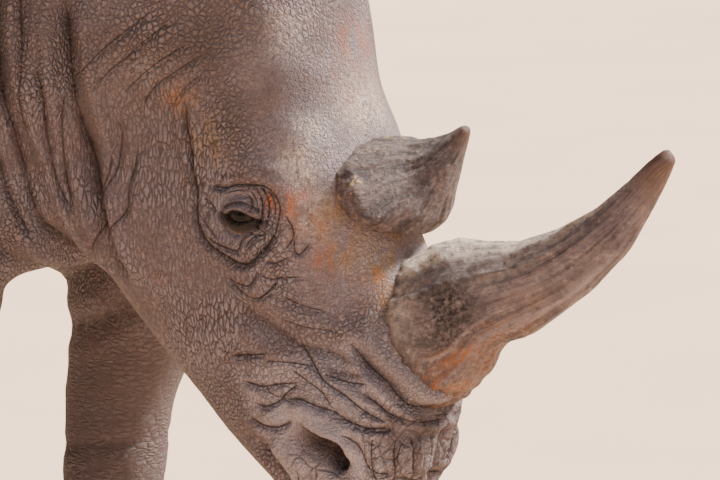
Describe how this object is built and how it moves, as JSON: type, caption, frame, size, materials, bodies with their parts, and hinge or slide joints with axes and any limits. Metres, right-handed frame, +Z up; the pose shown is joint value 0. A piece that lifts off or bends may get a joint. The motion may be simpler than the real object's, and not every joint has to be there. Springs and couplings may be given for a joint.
{
  "type": "white rhinoceros",
  "caption": "Life-size still model of a standing white rhinoceros, head lowered, with a long front horn and a short rear horn.",
  "frame": {"origin": "on the floor, under the middle of the whole animal's box", "axes": "+X towards the animal's head, +Y towards its left side, +Z up from the floor"},
  "size_m": [3.1196, 1.0844, 1.7607],
  "materials": {
    "skin": "dry grey-brown hide with fine creases and dried mud",
    "horn": "weathered fibrous keratin, darker at the tips",
    "nail": "worn matt keratin",
    "eye": "wet and glossy dark brown"
  },
  "bodies": {
    "root": {"trunk": "skin", "neck": "skin", "head": "skin", "lower_jaw": "skin", "tail": "skin", "foreleg_left": "skin", "foreleg_right": "skin", "hindleg_left": "skin", "hindleg_right": "skin", "ear_left": "skin", "ear_right": "skin", "eye_left": "eye", "eye_right": "eye", "horn_front": "horn", "horn_rear": "horn", "nail_foreleg_left_inner": "nail", "nail_foreleg_left_middle": "nail", "nail_foreleg_left_outer": "nail", "nail_foreleg_right_inner": "nail", "nail_foreleg_right_middle": "nail", "nail_foreleg_right_outer": "nail", "nail_hindleg_left_inner": "nail", "nail_hindleg_left_middle": "nail", "nail_hindleg_left_outer": "nail", "nail_hindleg_right_inner": "nail", "nail_hindleg_right_middle": "nail", "nail_hindleg_right_outer": "nail"}
  },
  "joints": []
}
